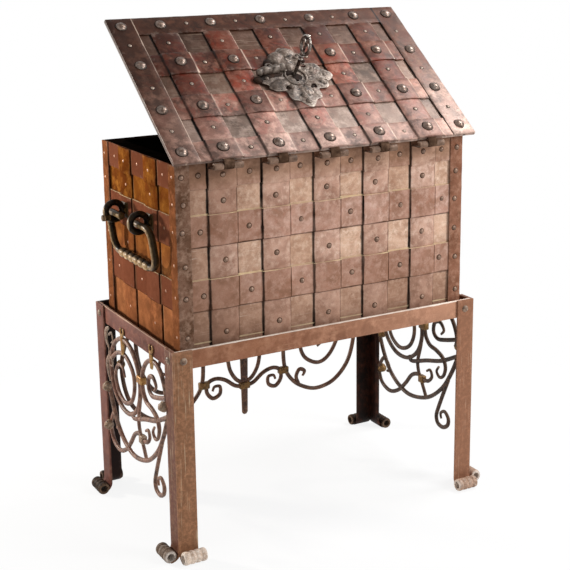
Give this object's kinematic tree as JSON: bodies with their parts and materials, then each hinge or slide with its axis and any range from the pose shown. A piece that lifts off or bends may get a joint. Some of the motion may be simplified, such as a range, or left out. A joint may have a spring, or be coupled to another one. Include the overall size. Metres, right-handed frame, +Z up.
{
  "type": "war chest on stand",
  "caption": "Strap-bound iron chest with a woven, riveted lid on hinge eyes, a keyed lid lock and bail handles, set in an angle-iron stand with wrought scrollwork.",
  "frame": {"origin": "on the floor under the middle of the stand", "axes": "+X along the long sides, +Y from the hinged back to the front, +Z up"},
  "size_m": [0.934, 0.57, 1.2574],
  "materials": {
    "stand_iron": "worn red-brown iron",
    "scroll_iron": "grey-brown forged iron",
    "chest_iron": "tan-brown sheet iron",
    "strap_iron": "pinkish brown strap iron",
    "lid_iron": "dark red-brown worn iron",
    "lock_steel": "grey worn steel",
    "handle_iron": "black forged iron"
  },
  "bodies": {
    "chest_and_stand": {"back_wall": "chest_iron", "chest_bottom": "chest_iron", "corner_angle_back_left": "strap_iron", "corner_angle_back_right": "strap_iron", "corner_angle_front_left": "strap_iron", "corner_angle_front_right": "strap_iron", "front_scroll_panel": "scroll_iron", "front_wall": "chest_iron", "hoop_lower": "strap_iron", "hoop_top": "strap_iron", "hoop_upper": "strap_iron", "left_scroll_panel": "scroll_iron", "left_staple_back": "handle_iron", "left_staple_front": "handle_iron", "left_strap_1": "strap_iron", "left_strap_2": "strap_iron", "left_wall": "chest_iron", "leg_back_left": "stand_iron", "leg_back_right": "stand_iron", "leg_front_left": "stand_iron", "leg_front_right": "stand_iron", "long_strap_1": "strap_iron", "long_strap_2": "strap_iron", "long_strap_3": "strap_iron", "long_strap_4": "strap_iron", "long_strap_5": "strap_iron", "rail_back": "stand_iron", "rail_front": "stand_iron", "rail_left": "stand_iron", "rail_right": "stand_iron", "right_scroll_panel": "scroll_iron", "right_staple_back": "handle_iron", "right_staple_front": "handle_iron", "right_strap_1": "strap_iron", "right_strap_2": "strap_iron", "right_wall": "chest_iron", "rim_flange": "chest_iron"},
    "lid": {"escutcheon": "lock_steel", "lid_band_back": "lid_iron", "lid_band_front": "lid_iron", "lid_band_middle": "lid_iron", "lid_frame": "lid_iron", "lid_plate": "lid_iron", "lid_strap_1": "lid_iron", "lid_strap_2": "lid_iron", "lid_strap_3": "lid_iron", "lid_strap_4": "lid_iron", "lid_strap_5": "lid_iron", "lock_case": "lid_iron", "lock_plate": "lid_iron"},
    "key": {"key": "lock_steel"},
    "front_bolt": {"front_bolt": "lock_steel"},
    "left_bolt": {"left_bolt": "lock_steel"},
    "right_bolt": {"right_bolt": "lock_steel"},
    "bail_left": {"left_bail": "handle_iron"},
    "bail_right": {"right_bail": "handle_iron"}
  },
  "joints": [
    {"name": "lid_hinge", "type": "hinge", "parent": "chest_and_stand", "child": "lid", "pos_m": [0, -0.2548, 0.9446], "axis": [1, 0, 0], "range_deg": [-37.5, 60]},
    {"name": "key_turn", "type": "hinge", "parent": "lid", "child": "key", "pos_m": [0, -0.05374, 1.09888], "axis": [0, -0.6088, 0.7934], "range_deg": [0, 90]},
    {"name": "front_bolt_slide", "type": "slide", "parent": "lid", "child": "front_bolt", "axis": [0, 0.7934, 0.6088], "range_m": [0, 0.018]},
    {"name": "left_bolt_slide", "type": "slide", "parent": "lid", "child": "left_bolt", "axis": [-1, 0, 0], "range_m": [0, 0.018]},
    {"name": "right_bolt_slide", "type": "slide", "parent": "lid", "child": "right_bolt", "axis": [1, 0, 0], "range_m": [0, 0.018]},
    {"name": "left_bail_swing", "type": "hinge", "parent": "chest_and_stand", "child": "bail_left", "pos_m": [-0.4308, 0, 0.7911], "axis": [0, 1, 0], "range_deg": [-1.5, 180]},
    {"name": "right_bail_swing", "type": "hinge", "parent": "chest_and_stand", "child": "bail_right", "pos_m": [0.4308, 0, 0.7911], "axis": [0, -1, 0], "range_deg": [-1.5, 180]}
  ],
  "couplings": [
    {"joint": "key_turn", "follows": "front_bolt_slide", "rad_per_m": 87.266},
    {"joint": "left_bolt_slide", "follows": "front_bolt_slide", "ratio": 1},
    {"joint": "right_bolt_slide", "follows": "front_bolt_slide", "ratio": 1}
  ]
}
